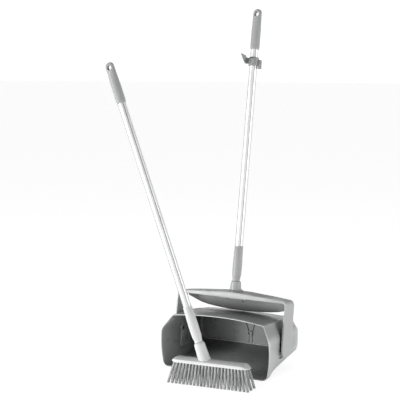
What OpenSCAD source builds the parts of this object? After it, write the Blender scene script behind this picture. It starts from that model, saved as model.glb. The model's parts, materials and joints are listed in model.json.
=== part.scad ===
// Upright lobby dust pan and brush set: a hooded pan that swings in a yoke on a
// long handle, and a long-handled angled broom that clips to that handle.
// X across the mouth, Y towards the back of the pan, +Z up, millimetres.
// The origin is the middle of the flat land under the pan's front lip.

/* [Pan] */
// widest half of the mouth, at the fold of the side
mouth_half = 181.5; // [150:230]
// half width of the mouth at the floor
foot_half = 177; // [146:225]
// half width of the mouth at the roof corner
roof_half = 153; // [120:195]
// height of the fold in the side
fold_height = 113; // [90:140]
// height of the roof corner
corner_height = 155; // [130:190]
// how far the roof arches above its corners
roof_rise = 9; // [4:16]
// how far the roof's front edge stands behind the lip
roof_setback = 20; // [8:40]
// depth of the pan, lip to back
pan_depth = 210; // [170:260]
// how far the underside has climbed at the back
floor_climb = 42; // [20:60]
// length of the flat land under the lip
lip_land = 24; // [16:40]
// wall of the pan
pan_wall = 3; // [2:5]

/* [Yoke] */
// outside width over the two arms
yoke_width = 370; // [310:470]
// thickness of an arm
arm_thick = 5; // [4:7]
// width of an arm, front to back
arm_width = 54; // [40:70]
// height of the hinge line above the floor
pivot_height = 79; // [60:95]
// distance of the hinge line behind the lip
pivot_back = 104; // [85:130]
// backward lean of the handle at rest
lean = 9; // [4:14]
// height of the bar's underside over the hinge line
bar_height = 126; // [115:150]
// thickness of the bar at its ends
bar_thick = 8; // [7:14]
// diameter of the hinge pins
pin_d = 10; // [8:14]

/* [Handles] */
// outside diameter of the aluminium tubes
tube_d = 23; // [20:28]
// wall of the tubes
tube_wall = 1.5; // [1:2.5]
// length of tube seen on the pan's handle
pan_tube_show = 589; // [450:750]
// length of tube seen on the broom's handle
broom_tube_show = 602; // [450:750]
// length of a hand grip
grip_length = 122; // [95:150]
// diameter of a hand grip
grip_d = 28; // [26:34]
// diameter of the hang hole in a grip
hang_d = 13; // [8:16]
// length of a ferrule
ferrule_length = 101; // [80:130]
// widest diameter of a ferrule
ferrule_d = 28.5; // [26:36]

/* [Clip] */
// height of the clip's band
clip_height = 26; // [18:36]
// distance of the clip's band below the grip
clip_drop = 24; // [12:60]

/* [Broom] */
// length of the broom's block
block_length = 236; // [180:300]
// width of the block, front to back
block_width = 44; // [36:60]
// thickness of the block
block_thick = 14; // [12:20]
// length of bristle below the block
bristle_length = 61; // [45:80]
// sideways lean of the broom's socket
socket_lean = 20; // [10:28]
// number of tufts in a row
tufts = 23; // [15:31]

/* [Hidden] */
$fn = 48;
fit_gap = 0.05;
run_gap = 0.06;
z_up = [0, 0, 1];

// pan
side_narrow = 11;
side_bow = 4;
neck_at = pan_depth*0.38;
back_half = mouth_half - side_narrow;
corner_r = 19;
climb = floor_climb/(pan_depth - lip_land);
crest_r = 262;
crest_back = pivot_back + 64;
back_top = corner_height - 10;
pocket_half = roof_half - 3;
pocket_front = 16;
pocket_gap = 2;
boss_r = 15;
foot_r = 9;
foot_x = mouth_half*0.45;

// yoke
arm_out = yoke_width/2;
arm_in = arm_out - arm_thick;
arm_half = arm_width/2;
hub_d = 34;
hub_top = bar_height + 50;
neck_d = ferrule_d - 5.5;
thread_d = 17;
thread_len = 26;
bar_top = bar_height + bar_thick;
flap_t = 3;
flap_half = arm_in - 0.8;
flap_slant = 30;
flap_drop = 44;
screw_d = 4.5;
bore_deep = arm_thick*0.7;
boss_end = arm_in - 2.85;
head_at = pocket_half - pan_wall - 2.55;

// handles
tube_in = tube_d - 2*tube_wall;
sleeve_deep = 55;
plug_len = 60;
pan_waist = hub_top + 4;
tube_low = ferrule_length - sleeve_deep;
pan_tube_len = sleeve_deep + pan_tube_show + plug_len;
broom_tube_len = sleeve_deep + broom_tube_show + plug_len;
pan_grip_at = ferrule_length + pan_tube_show;
broom_grip_at = ferrule_length + broom_tube_show;
clip_at = pan_waist + pan_grip_at - clip_drop - clip_height;
catch_gap = 27;

// broom
broom_x = 60;
broom_y = -117;
broom_yaw = 5.5;
socket_x = -20;
socket_len = 48;
block_top = bristle_length + block_thick;
tuft_pitch = (block_length - 20)/(tufts - 1);
tuft_r = 2.9;
tip_r = min(5.2, tuft_pitch*0.55);
tuft_deep = 7;
row_gap = block_width*0.3;
fan = 10.5;
fan_y = 9;

// ---- placing ----

module at_pan() translate([0, -lip_land/2, 0]) children();
module at_yoke() at_pan() translate([0, pivot_back, pivot_height]) rotate([-lean, 0, 0]) children();
module at_pan_handle() at_yoke() translate([0, 0, pan_waist]) children();
module at_clip() at_yoke() translate([0, 0, clip_at]) children();
module at_broom() translate([broom_x, broom_y - lip_land/2, 0]) rotate([0, 0, broom_yaw]) children();
module at_socket() at_broom() translate([socket_x, 0, block_top - 4]) rotate([0, -socket_lean, 0]) children();
module at_broom_handle() at_socket() translate([0, 0, socket_len + 8]) children();
module both_sides() for (s = [-1, 1]) scale([s, 1, 1]) children();

// ---- pan ----

// one upright section of the pan, thin in Y, drawn inset by the wall
module section(y, half, foot, top_half, fold, corner, rise, low, t) {
  r = max(4, corner_r - t);
  f = foot - t;
  h = half - t;
  k = top_half - t*0.6;
  zl = low + t;
  zc = corner - t;
  side = [for (i = [0:5]) let (a = 90*i/5) [f - r + r*sin(a), zl + r - r*cos(a)]];
  bow = [for (i = [1:3]) let (u = i/4)
    [f + (h - f)*u + side_bow*4*u*(1 - u)*0.9, zl + r + (fold - zl - r)*u]];
  arch = [for (i = [0:8]) let (u = 1 - i/4) [k*u, zc + rise*(1 - u*u)]];
  right = concat(side, bow, [[h, fold - t*0.35]]);
  left = [for (i = [len(right) - 1:-1:0]) [-right[i][0], right[i][1]]];
  translate([0, y, 0]) rotate([90, 0, 0])
    linear_extrude(0.5) polygon(concat(right, arch, left));
}

function low_at(y) = max(0, (y - lip_land)*climb);
function half_at(y) = mouth_half - side_narrow*0.55*y/neck_at;

// wide front collar of the pan
module collar(t) {
  hull() {
    section(t > 0 ? -1 : 0.5, mouth_half, foot_half, roof_half, fold_height, corner_height, roof_rise,
      0, t);
    section(lip_land, half_at(lip_land), foot_half - 1, roof_half, fold_height, corner_height,
      roof_rise, 0, t);
    section(neck_at - t*0.4, half_at(neck_at), foot_half - 5, roof_half - 1, fold_height, corner_height,
      roof_rise - 1, low_at(neck_at), t);
  }
}

// rear body
module rear_body(t) {
  hull() {
    section(neck_at - 8 - t*0.4, half_at(neck_at - 8), foot_half - 5, roof_half - 1, fold_height, corner_height,
      roof_rise - 2, low_at(neck_at - 8), t);
    section(crest_back*0.72, half_at(neck_at) - 0.5, foot_half - 7, roof_half - 3, fold_height,
      corner_height - 1, roof_rise - 5, low_at(crest_back*0.72), t);
    section(pan_depth - 6 - t, back_half, foot_half - 12, roof_half - 8, fold_height - 3,
      back_top + 1, 2, low_at(pan_depth - 6), t);
    section(pan_depth - t, back_half - 3, foot_half - 17, roof_half - 11, fold_height - 4,
      back_top - 3, 1, low_at(pan_depth) + 5, t);
  }
}

// recess in each side that the arm lies in, which stops it behind
module arm_pocket(t) both_sides() translate([0, pivot_back, pivot_height]) rotate([-lean, 0, 0])
  translate([pocket_half - t, -pocket_front - t, -arm_half - 6 - t])
    cube([100, pocket_front + arm_half + pocket_gap + 2*t, 250]);

// upright slice of the hood alone, from inside the body up to its arched top
module hood_section(y, top_half, corner, rise, t) {
  k = top_half - t*0.6;
  arch = [for (i = [0:8]) let (u = 1 - i/4) [k*u, corner - t + rise*(1 - u*u)]];
  translate([0, y, 0]) rotate([90, 0, 0]) linear_extrude(0.5)
    polygon(concat([[-k, fold_height], [k, fold_height]], arch));
}

// raised hood whose back edge is an arc in plan
module hood(t) {
  intersection() {
    hull() {
      hood_section(neck_at - 10, roof_half - 3, corner_height, roof_rise, t);
      hood_section(crest_back - 12, roof_half - 8, corner_height - 2, roof_rise - 1, t);
      hood_section(crest_back + 2, roof_half - 8, corner_height - 9, roof_rise - 1, t);
    }
    translate([0, crest_back - crest_r, 0]) cylinder(r = crest_r - t, h = 300, $fn = 96);
  }
}

module pan_solid(t) {
  collar(t);
  rear_body(t);
  hood(t);
}

module pan_body() color("dimgray") at_pan() difference() {
  union() {
    difference() {
      pan_solid(0);
      arm_pocket(0);
      difference() {
        pan_solid(pan_wall);
        arm_pocket(pan_wall);
      }
      // slanting front edge of the sides and roof
      translate([-mouth_half*1.2, 0, fold_height]) rotate([-atan(roof_setback/(corner_height - fold_height)), 0, 0])
        translate([0, -80, 0]) cube([mouth_half*2.4, 80, 120]);
      // trimmed flush at the lip
      translate([-mouth_half*1.2, -10, -5]) cube([mouth_half*2.4, 10.01, 220]);
    }
    // hinge bosses across the recesses
    both_sides() translate([pocket_half - 1, pivot_back, pivot_height]) rotate([0, 90, 0])
      cylinder(r = boss_r, h = boss_end - pocket_half + 1);
    // rest feet under the back
    both_sides() translate([foot_x, pan_depth - 24, 0])
      cylinder(r = foot_r, h = low_at(pan_depth - 24) + pan_wall*0.8);
    // keyed boss in the middle of the back wall
    translate([0, pan_depth - pan_wall - 0.5, pivot_height + 10]) rotate([90, 0, 0]) cylinder(r = 9, h = 4);
    translate([0, pan_depth - pan_wall - 0.5, pivot_height + 10]) rotate([90, 0, 0])
      linear_extrude(3) polygon([[-7, 4], [7, 4], [19, 34], [-19, 34]]);
    both_sides() translate([3.6, pan_depth - pan_wall - 3, pivot_height - 24]) cube([1.8, 3, 28]);
  }
  // hinge bores
  both_sides() translate([pocket_half - 20, pivot_back, pivot_height]) rotate([0, 90, 0])
    cylinder(d = pin_d + 2*fit_gap, h = boss_end - pocket_half + 22);
  // cup of the keyed boss
  translate([0, pan_depth - pan_wall - 2.2, pivot_height + 10]) rotate([90, 0, 0]) cylinder(r = 5, h = 6);
}

module on_hinge(x) at_pan() both_sides() translate([x, pivot_back, pivot_height]) rotate([0, 90, 0]) children();

// headed inside the pan, turning in a blind bore of the arm
module pivot_pins() color("silver") on_hinge(head_at) {
  cylinder(d = pin_d, h = arm_in + bore_deep - 0.2 - head_at);
  cylinder(d1 = pin_d + 5, d2 = pin_d + 8, h = 2.5);
}

module pivot_bushes() color("black") on_hinge(arm_in - 1.45) difference() {
  cylinder(d = pin_d + 12, h = 1.4);
  translate([0, 0, -1]) cylinder(d = pin_d + 2*run_gap, h = 4);
}

module pin_clips() color("silver") on_hinge(boss_end + 0.05) difference() {
  cylinder(d = pin_d + 7, h = 1.3);
  translate([0, 0, -1]) cylinder(d = pin_d + 2*fit_gap, h = 4);
}

// ---- yoke ----

module arm() translate([arm_in, 0, 0]) {
  rotate([0, 90, 0]) cylinder(r = arm_half, h = arm_thick);
  translate([0, -arm_half, 0]) cube([arm_thick, arm_width, bar_top - 12]);
}

// corner between arm and bar
module corner() intersection() {
  translate([arm_out - 12, arm_half, bar_top - 12]) rotate([90, 0, 0]) difference() {
    cylinder(r = 12, h = arm_width);
    translate([0, 0, -1]) cylinder(r = 12 - arm_thick, h = arm_width + 2);
  }
  translate([arm_out - 12, -arm_half, bar_top - 12]) cube([13, arm_width, 13]);
}

module yoke() color("gray") at_yoke() difference() {
  union() {
    both_sides() {
      arm();
      corner();
      // haunch that thickens the corner
      difference() {
        translate([arm_in - 20, -arm_half, bar_height - 20]) cube([20.5, arm_width, 20.5]);
        translate([arm_in - 20, -arm_half - 1, bar_height - 20]) rotate([-90, 0, 0])
          cylinder(r = 20, h = arm_width + 2);
      }
      translate([0, -arm_half, bar_height]) cube([arm_out - 11.9, arm_width, bar_thick]);
      // crown running up to the socket, higher along the back
      hull() {
        translate([0, -arm_half, bar_top - 1]) cube([arm_out - 14, arm_width, 1]);
        translate([0, arm_half - 3, bar_top]) cube([arm_out*0.8, 3, 4.5]);
        translate([0, arm_half - 4, bar_top]) cube([58, 4, 11]);
        translate([0, -arm_half*0.9, bar_top]) cube([32, arm_width*0.9, 9]);
      }
    }
    translate([0, 0, bar_height]) cylinder(d1 = hub_d + 10, d2 = hub_d, h = bar_thick + 9);
    translate([0, 0, bar_height + bar_thick + 8.9]) cylinder(d1 = hub_d, d2 = hub_d - 4,
      h = hub_top - bar_height - bar_thick - 11);
    translate([0, 0, hub_top - 2.2]) cylinder(d1 = hub_d - 4, d2 = neck_d + 3, h = 2.2);
  }
  both_sides() translate([arm_in - 1, 0, 0]) rotate([0, 90, 0]) cylinder(d = pin_d + 2*run_gap, h = bore_deep + 1);
  translate([0, 0, hub_top - thread_len - 2]) cylinder(d = thread_d + 2*fit_gap, h = thread_len + 4);
  for (s = [-1, 1]) translate([s*26, 0, bar_height - 1]) cylinder(d = screw_d, h = 14);
}

module flap_plate() translate([0, arm_half + 0.1, bar_height - 0.05]) rotate([flap_slant, 0, 0]) children();

// how far the flap hangs, u from 0 in the middle to 1 at its ends
function drop_at(u) = flap_drop*(1 - 0.8*pow(abs(u), 3.2));

module closing_flap() color("gray") at_yoke() difference() {
  union() {
    translate([-46, -14, bar_height - flap_t - 0.05]) cube([92, arm_half + 16, flap_t]);
    intersection() {
      flap_plate() rotate([90, 0, 0]) translate([0, 0, -flap_t]) linear_extrude(flap_t)
        polygon(concat([for (i = [-14:14]) [i/14*flap_half, -drop_at(i/14)]], [[flap_half, 6], [-flap_half, 6]]));
      translate([-arm_out, 0, 0]) cube([2*arm_out, 120, bar_height - 0.05]);
    }
  }
  for (s = [-1, 1]) translate([s*26, 0, bar_height - 10]) cylinder(d = screw_d + 0.4, h = 12);
}

module flap_screws() color("silver") at_yoke() for (s = [-1, 1]) translate([s*26, 0, 0]) {
  translate([0, 0, bar_height - flap_t - 2.7]) cylinder(d1 = 6, d2 = 9, h = 2.6);
  translate([0, 0, bar_height - flap_t - 0.3]) cylinder(d = screw_d - 2*fit_gap, h = 14);
}

// ---- handles ----

// moulded ferrule: threaded stub below, waist, swell and sleeve above
module ferrule(stub) difference() {
  union() {
    translate([0, 0, -stub - 1.9]) cylinder(d = thread_d, h = stub + 2.4);
    translate([0, 0, -3.95]) cylinder(d = neck_d, h = 8);
    translate([0, 0, 4]) cylinder(d1 = neck_d, d2 = ferrule_d - 1, h = 9);
    translate([0, 0, 13]) cylinder(d1 = ferrule_d - 1, d2 = ferrule_d, h = ferrule_length*0.3);
    translate([0, 0, 13 + ferrule_length*0.3]) cylinder(d1 = ferrule_d, d2 = tube_d + 2.2,
      h = ferrule_length*0.7 - 13);
  }
  translate([0, 0, tube_low]) cylinder(d = tube_d + 2*fit_gap, h = sleeve_deep + 1);
  translate([0, 0, tube_low + sleeve_deep*0.5]) rotate([90, 0, 0]) cylinder(d = 4, h = 80, center = true);
}

module ferrule_pin() translate([0, 0, tube_low + sleeve_deep*0.5]) rotate([90, 0, 0])
  cylinder(d = 3.9, h = tube_d + 2, center = true);

module tube(len) translate([0, 0, tube_low + 0.05]) difference() {
  cylinder(d = tube_d, h = len);
  translate([0, 0, -1]) cylinder(d = tube_in, h = len + 2);
  translate([0, 0, sleeve_deep*0.5 - 0.05]) rotate([90, 0, 0]) cylinder(d = 4, h = 80, center = true);
}

// stopper that closes the top of a tube inside the grip
module plug() {
  translate([0, 0, plug_len - 22]) cylinder(d = tube_in - 2*fit_gap, h = 22.1);
  translate([0, 0, plug_len + 0.1]) cylinder(d = tube_d - 0.4, h = 3);
}

module grip() difference() {
  union() {
    cylinder(d1 = grip_d - 3, d2 = grip_d, h = 8);
    translate([0, 0, 8]) cylinder(d = grip_d, h = grip_length - 16);
    intersection() {
      translate([0, 0, grip_length - 8.05]) cylinder(d = grip_d, h = 12);
      translate([0, 0, grip_length - grip_d*0.62]) sphere(d = grip_d*1.24);
    }
  }
  translate([0, 0, -1]) cylinder(d = tube_d + 2*fit_gap, h = plug_len + 4.3);
  translate([0, 0, grip_length - 15]) rotate([90, 0, 0]) cylinder(d = hang_d, h = 60, center = true);
}

module pan_ferrule() color("gray") at_pan_handle() ferrule(thread_len - 4);
module pan_ferrule_pin() color("silver") at_pan_handle() ferrule_pin();
module pan_tube() color("silver") at_pan_handle() tube(pan_tube_len);
module pan_plug() color("black") at_pan_handle() translate([0, 0, pan_grip_at]) plug();
module pan_grip() color("gray") at_pan_handle() translate([0, 0, pan_grip_at]) grip();

// ---- clip ----

clip_r = tube_d/2 + 3.6;
lug_x = tube_d/2 + 1;

module clip_body() color("gray") at_clip() difference() {
  union() {
    cylinder(r = clip_r, h = clip_height);
    // catch for the broom's tube
    translate([0, -catch_gap, 3]) cylinder(r = clip_r - 0.4, h = clip_height - 6);
    translate([-6, -catch_gap, 4]) cube([12, catch_gap, clip_height - 8]);
    // flared lead-in lips
    for (s = [-1, 1]) translate([s*(tube_d/2 - 3), -catch_gap - 10, 3]) rotate([0, 0, s*28])
      translate([-1.6, -13, 0]) cube([3.2, 15, s < 0 ? clip_height + 4 : clip_height - 6]);
    // clamp lug
    translate([lug_x, -2, -7]) cube([9, 14, clip_height + 3]);
  }
  translate([0, 0, -8]) cylinder(d = tube_d + 2*fit_gap, h = clip_height + 16);
  translate([0, -catch_gap, -8]) cylinder(d = tube_d + 0.6, h = clip_height + 24);
  translate([-tube_d*0.4, -catch_gap - 40, -8]) cube([tube_d*0.8, 40, clip_height + 24]);
  // point of the tall lip
  translate([-40, -catch_gap - 30, clip_height + 7]) rotate([28, 0, 0]) cube([40, 40, 20]);
  // clamp split
  translate([tube_d/2 - 2, 4, -9]) cube([20, 1.6, clip_height + 14]);
  // clamp screw hole
  translate([lug_x + 5, 30, -3.6]) rotate([90, 0, 0]) cylinder(d = 4.1, h = 60);
}

module clip_screw() color("silver") at_clip() translate([lug_x + 5, -2.05, -3.6]) rotate([90, 0, 0]) {
  cylinder(d1 = 6.6, d2 = 5.4, h = 2.6);
  translate([0, 0, -18]) cylinder(d = 4, h = 18.5);
}

module clip_nut() color("silver") at_clip() translate([lug_x + 5, 15.25, -3.6]) rotate([90, 0, 0]) difference() {
  cylinder(d = 6.8, h = 3.2, $fn = 6);
  translate([0, 0, -1]) cylinder(d = 4.1, h = 6);
}

// ---- broom ----

// one tuft, or its hole when grown, from the block's underside
module tuft(i, j, deep, grow) {
  u = 2*i/(tufts - 1) - 1;
  translate([u*(block_length/2 - 10), j*row_gap, bristle_length])
    rotate([j*fan_y, -u*abs(u)*fan - u*3, 0]) {
      translate([0, 0, grow > 0 ? -3 : -0.02]) cylinder(r = tuft_r + grow, h = grow > 0 ? deep + 3 : deep,
        $fn = 16);
      if (grow == 0) translate([0, 0, -bristle_length*1.12])
        cylinder(r1 = tip_r, r2 = tuft_r, h = bristle_length*1.12, $fn = 16);
    }
}

module tuft_row(j) at_broom() intersection() {
  for (i = [0:tufts - 1]) tuft(i, j, tuft_deep - 1.2, 0);
  translate([-block_length, -100, 0]) cube([block_length*2, 200, 200]);
}

module broom_block() color("lightgray") difference() {
  union() {
    at_broom() intersection() {
      hull() for (s = [-1, 1]) {
        translate([s*(block_length/2 - 9), 0, bristle_length + block_thick/2])
          cube([2, block_width - 14, block_thick], center = true);
        translate([s*(block_length/2 - 16), 0, bristle_length + block_thick/2])
          cube([2, block_width, block_thick], center = true);
        translate([s*block_length/2, 0, bristle_length + 2.5]) cube([1, block_width - 22, 5], center = true);
      }
      translate([0, 0, block_top - 46]) rotate([0, 90, 0]) cylinder(r = 46, h = block_length*2, center = true,
        $fn = 96);
    }
    at_socket() translate([0, 0, -4]) cylinder(d1 = hub_d, d2 = hub_d - 4, h = socket_len + 4);
    at_socket() translate([0, 0, socket_len - 0.05]) cylinder(d1 = hub_d - 4, d2 = neck_d + 3, h = 4.05);
  }
  at_socket() translate([0, 0, socket_len - thread_len + 2]) cylinder(d = thread_d + 2*fit_gap,
    h = thread_len + 10);
  at_broom() for (j = [-1, 0, 1]) for (i = [0:tufts - 1]) tuft(i, j, tuft_deep, fit_gap);
  at_broom() translate([-block_length, -50, bristle_length - 30]) cube([2*block_length, 100, 30]);
}

module bristles_front() color("darkgray") tuft_row(-1);
module bristles_middle() color("darkgray") tuft_row(0);
module bristles_rear() color("darkgray") tuft_row(1);

module tuft_anchors() color("silver") at_broom() for (j = [-1, 0, 1]) for (i = [0:tufts - 1]) {
  u = 2*i/(tufts - 1) - 1;
  translate([u*(block_length/2 - 10), j*row_gap, bristle_length]) rotate([j*fan_y, -u*abs(u)*fan - u*3, 0])
    translate([0, 0, tuft_deep - 0.7]) cube([4, 1.4, 1], center = true);
}

module broom_ferrule() color("lightgray") at_broom_handle() ferrule(thread_len - 4);
module broom_ferrule_pin() color("silver") at_broom_handle() ferrule_pin();
module broom_tube() color("silver") at_broom_handle() tube(broom_tube_len);
module broom_plug() color("black") at_broom_handle() translate([0, 0, broom_grip_at]) plug();
module broom_grip() color("gray") at_broom_handle() translate([0, 0, broom_grip_at]) grip();

pan_body();
pivot_pins();
pivot_bushes();
pin_clips();
yoke();
closing_flap();
flap_screws();
pan_ferrule();
pan_ferrule_pin();
pan_tube();
pan_plug();
pan_grip();
clip_body();
clip_screw();
clip_nut();
broom_block();
bristles_front();
bristles_middle();
bristles_rear();
tuft_anchors();
broom_ferrule();
broom_ferrule_pin();
broom_tube();
broom_plug();
broom_grip();
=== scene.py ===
import json
import random
from math import radians, sin, cos, pi, sqrt, atan2, degrees
import bpy
import bmesh
from mathutils import Vector, Matrix


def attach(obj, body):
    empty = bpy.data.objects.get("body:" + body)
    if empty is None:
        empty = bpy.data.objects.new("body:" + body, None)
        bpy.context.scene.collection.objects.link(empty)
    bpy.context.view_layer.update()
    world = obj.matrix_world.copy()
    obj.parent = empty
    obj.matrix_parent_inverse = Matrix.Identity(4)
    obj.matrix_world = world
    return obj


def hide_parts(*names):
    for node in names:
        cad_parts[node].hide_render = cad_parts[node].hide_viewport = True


# camera first, where a standing person would hold it, a little to the right of the mouth
cameraSet = {"place": (1.6928, -2.8997, 0.8860), "turn": (83.563, 0, 31.061), "lens": 105.94}
cameraData = bpy.data.cameras.new("studioCamera")
cameraData.lens = cameraSet["lens"]
cameraData.sensor_width = 36
studioCamera = bpy.data.objects.new("studioCamera", cameraData)
studioCamera.location = cameraSet["place"]
studioCamera.rotation_euler = [radians(a) for a in cameraSet["turn"]]
bpy.context.scene.collection.objects.link(studioCamera)
bpy.context.scene.camera = studioCamera
print("camera placed")

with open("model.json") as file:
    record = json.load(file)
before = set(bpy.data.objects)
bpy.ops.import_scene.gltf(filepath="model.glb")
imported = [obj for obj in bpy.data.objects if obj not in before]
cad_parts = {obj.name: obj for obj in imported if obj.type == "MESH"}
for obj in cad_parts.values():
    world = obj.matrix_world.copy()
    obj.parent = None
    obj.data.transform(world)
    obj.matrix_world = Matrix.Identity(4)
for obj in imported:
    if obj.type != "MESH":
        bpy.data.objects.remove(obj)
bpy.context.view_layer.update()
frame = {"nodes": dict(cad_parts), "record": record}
record = frame["record"]
nodes = frame["nodes"]
print("frame loaded")

# places shared by the pieces, in metres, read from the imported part
joints = {j["name"]: j for j in record["behaviour"]["joints"]}
mounts = {m["name"]: m for m in record["mounts"]}
hinge = Vector(joints["yoke_swing"]["pos_m"])
hangAxis = Vector(mounts["pan_hang_hole"]["axis"])
leanBack = atan2(abs(hangAxis.z), abs(hangAxis.y))
broomAxis = Vector(mounts["broom_hang_hole"]["axis"])
broomYaw = atan2(broomAxis.x, -broomAxis.y)
mmScale = Matrix.Scale(0.001, 4)

# how far each group stands from the one that carries it: millimetres, but the broom's own place is in metres
standing = {
    "lipShift": 12,  # the pan's lip is this far in front of the origin
    # up the handle, from the hinge, the ferrule's foot or the socket's foot
    "panHandle": 180, "clip": 820, "panGrip": 690, "broomGrip": 703, "broomHandle": 56,
    "broom": (0.060, -0.129, 0), "socket": (-20, 0, 71), "socketTilt": -20,
}
panPlace = Matrix.Translation((0, -standing["lipShift"] / 1000, 0)) @ mmScale
yokePlace = Matrix.Translation(hinge) @ Matrix.Rotation(-leanBack, 4, "X") @ mmScale
panHandlePlace = yokePlace @ Matrix.Translation((0, 0, standing["panHandle"]))
clipPlace = yokePlace @ Matrix.Translation((0, 0, standing["clip"]))
broomPlace = Matrix.Translation(standing["broom"]) @ Matrix.Rotation(broomYaw, 4, "Z") @ mmScale
socketPlace = broomPlace @ Matrix.Translation(standing["socket"])
socketPlace = socketPlace @ Matrix.Rotation(radians(standing["socketTilt"]), 4, "Y")
broomHandlePlace = socketPlace @ Matrix.Translation((0, 0, standing["broomHandle"]))


# finishes: moulded plastics, drawn or plated metal, and bristle fibre
def newMaterial(name):
    material = bpy.data.materials.new(name)
    material.use_nodes = True
    tree = material.node_tree
    return material, tree, tree.nodes["Principled BSDF"]


def noiseNode(tree, scale, detail=3.0, stretch=None, rough=0.55):
    place = tree.nodes.new("ShaderNodeTexCoord")
    noise = tree.nodes.new("ShaderNodeTexNoise")
    noise.inputs["Scale"].default_value = scale
    noise.inputs["Detail"].default_value = detail
    noise.inputs["Roughness"].default_value = rough
    if stretch:
        mapping = tree.nodes.new("ShaderNodeMapping")
        mapping.inputs["Scale"].default_value = stretch
        tree.links.new(place.outputs["Object"], mapping.inputs["Vector"])
        tree.links.new(mapping.outputs["Vector"], noise.inputs["Vector"])
    else:
        tree.links.new(place.outputs["Object"], noise.inputs["Vector"])
    return noise


def rampNode(tree, source, stops):
    ramp = tree.nodes.new("ShaderNodeValToRGB")
    while len(ramp.color_ramp.elements) < len(stops):
        ramp.color_ramp.elements.new(0.5)
    for element, (at, tone) in zip(ramp.color_ramp.elements, stops):
        element.position = at
        element.color = (*tone, 1) if isinstance(tone, (tuple, list)) else (tone, tone, tone, 1)
    tree.links.new(source, ramp.inputs["Fac"])
    return ramp


def darkenedBy(tree, colour, shade):
    # the colour multiplied by the shade
    darken = tree.nodes.new("ShaderNodeMix")
    darken.data_type = "RGBA"
    darken.blend_type = "MULTIPLY"
    darken.inputs[0].default_value = 1
    tree.links.new(colour, darken.inputs[6])
    tree.links.new(shade, darken.inputs[7])
    return darken.outputs[2]


def paintedCornerShade(tree, reach, stops):
    # painted shade: the colour darkened in corners, creases and recesses, where shade falls
    corner = tree.nodes.new("ShaderNodeAmbientOcclusion")
    corner.inputs["Distance"].default_value = reach
    corner.samples = 8
    return rampNode(tree, corner.outputs["AO"], stops).outputs["Color"]


def roughen(tree, shader, height, strength, depth):
    bump = tree.nodes.new("ShaderNodeBump")
    bump.inputs["Strength"].default_value = strength
    bump.inputs["Distance"].default_value = depth
    tree.links.new(height, bump.inputs["Height"])
    tree.links.new(bump.outputs["Normal"], shader.inputs["Normal"])


def mouldedPlastic(name, tone, roughness, grainScale, grainDepth, variation=0.05, edgeLift=0.12,
                   specular=0.5, paintedShadeReach=0.03, paintedShadeTone=0.35, paintedShadeRange=(0.03, 0.62)):
    material, tree, shader = newMaterial(name)
    cloud = noiseNode(tree, 7.0, 3.0)
    low = [c * (1 - variation) for c in tone]
    high = [min(1, c * (1 + variation)) for c in tone]
    base = rampNode(tree, cloud.outputs["Fac"], [(0.3, low), (0.7, high)])
    # edges rubbed a little lighter
    geometry = tree.nodes.new("ShaderNodeNewGeometry")
    rub = rampNode(tree, geometry.outputs["Pointiness"], [(0.5, 0.0), (0.56, 1.0)])
    mix = tree.nodes.new("ShaderNodeMix")
    mix.data_type = "RGBA"
    mix.inputs[7].default_value = (*[min(1, c * (1 + edgeLift)) for c in tone], 1)
    tree.links.new(rub.outputs["Color"], mix.inputs[0])
    tree.links.new(base.outputs["Color"], mix.inputs[6])
    # painted shade in the corners and recesses, multiplied into the colour
    shade = paintedCornerShade(tree, paintedShadeReach, [(paintedShadeRange[0], paintedShadeTone), (paintedShadeRange[1], 1.0)])
    tree.links.new(darkenedBy(tree, mix.outputs[2], shade), shader.inputs["Base Color"])
    # handling marks in the sheen
    smear = noiseNode(tree, 23.0, 4.0)
    sheenStops = [(0.3, max(0.05, roughness - 0.05)), (0.72, roughness + 0.07)]
    sheen = rampNode(tree, smear.outputs["Fac"], sheenStops)
    tree.links.new(sheen.outputs["Color"], shader.inputs["Roughness"])
    grain = noiseNode(tree, grainScale, 2.0)
    roughen(tree, shader, grain.outputs["Fac"], 0.35, grainDepth)
    shader.inputs["Specular IOR Level"].default_value = specular
    return material


def drawnMetal(name, tone, roughness, stretch, lineDepth, metallic=1.0):
    material, tree, shader = newMaterial(name)
    lines = noiseNode(tree, 60.0, 3.0, stretch)
    low = [c * 0.94 for c in tone]
    high = [min(1, c * 1.05) for c in tone]
    base = rampNode(tree, lines.outputs["Fac"], [(0.3, low), (0.7, high)])
    # painted shade: the grooves drawn darker, standing in for the shade in them
    groove = tree.nodes.new("ShaderNodeAttribute")
    groove.attribute_name = "grooveShade"
    paintedGrooveShade = rampNode(tree, groove.outputs["Fac"], [(0.0, 1.0), (0.6, 0.16)])
    grooveShadedColour = darkenedBy(tree, base.outputs["Color"], paintedGrooveShade.outputs["Color"])
    tree.links.new(grooveShadedColour, shader.inputs["Base Color"])
    sheen = rampNode(tree, lines.outputs["Fac"], [(0.3, roughness - 0.05), (0.7, roughness + 0.06)])
    tree.links.new(sheen.outputs["Color"], shader.inputs["Roughness"])
    roughen(tree, shader, lines.outputs["Fac"], 0.15, lineDepth)
    shader.inputs["Metallic"].default_value = metallic
    return material


def fibreStuff(name, tone):
    material, tree, shader = newMaterial(name)
    strands = noiseNode(tree, 420.0, 2.0, (1, 1, 0.08))
    low = [c * 0.72 for c in tone]
    high = [min(1, c * 1.22) for c in tone]
    base = rampNode(tree, strands.outputs["Fac"], [(0.3, low), (0.7, high)])
    # painted shade: the fibres drawn nearly black deep between strands and tufts
    shade = paintedCornerShade(tree, 0.02, [(0.16, 0.03), (0.50, 1.0)])
    tree.links.new(darkenedBy(tree, base.outputs["Color"], shade), shader.inputs["Base Color"])
    shader.inputs["Roughness"].default_value = 0.5
    shader.inputs["Specular IOR Level"].default_value = 0.35
    return material


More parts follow.
